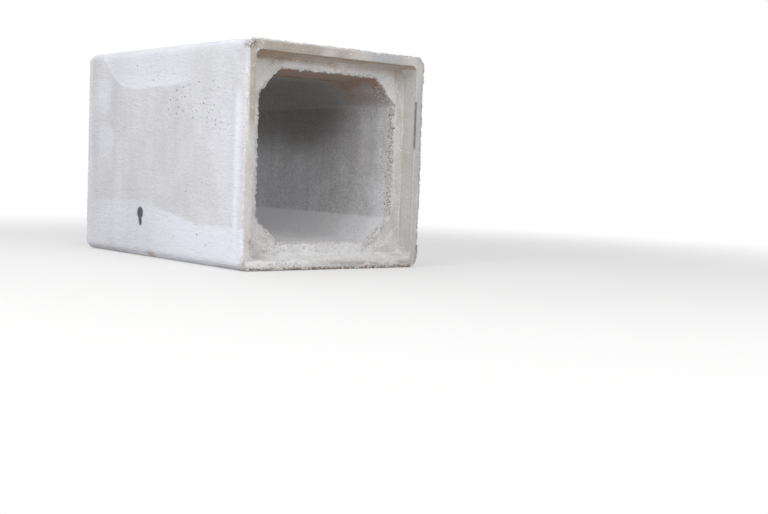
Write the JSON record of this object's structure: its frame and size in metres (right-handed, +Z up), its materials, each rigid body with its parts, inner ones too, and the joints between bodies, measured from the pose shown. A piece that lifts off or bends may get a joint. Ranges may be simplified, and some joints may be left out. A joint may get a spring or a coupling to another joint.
{
  "type": "precast concrete box culvert section",
  "caption": "Square precast concrete box culvert section with haunched waterway, socket end, tongue end and chamfered long edges.",
  "frame": {"origin": "middle of the flat underside, halfway between the socket end and the tongue end", "axes": "+Y along the barrel from the socket end to the tongue end, +X across the width, +Z up"},
  "size_m": [1.2192, 1.9088, 1.2192],
  "materials": {
    "concrete": "cast concrete, smooth against the forms, rough where struck off"
  },
  "bodies": {
    "root": {"box_section": "concrete"}
  },
  "joints": []
}
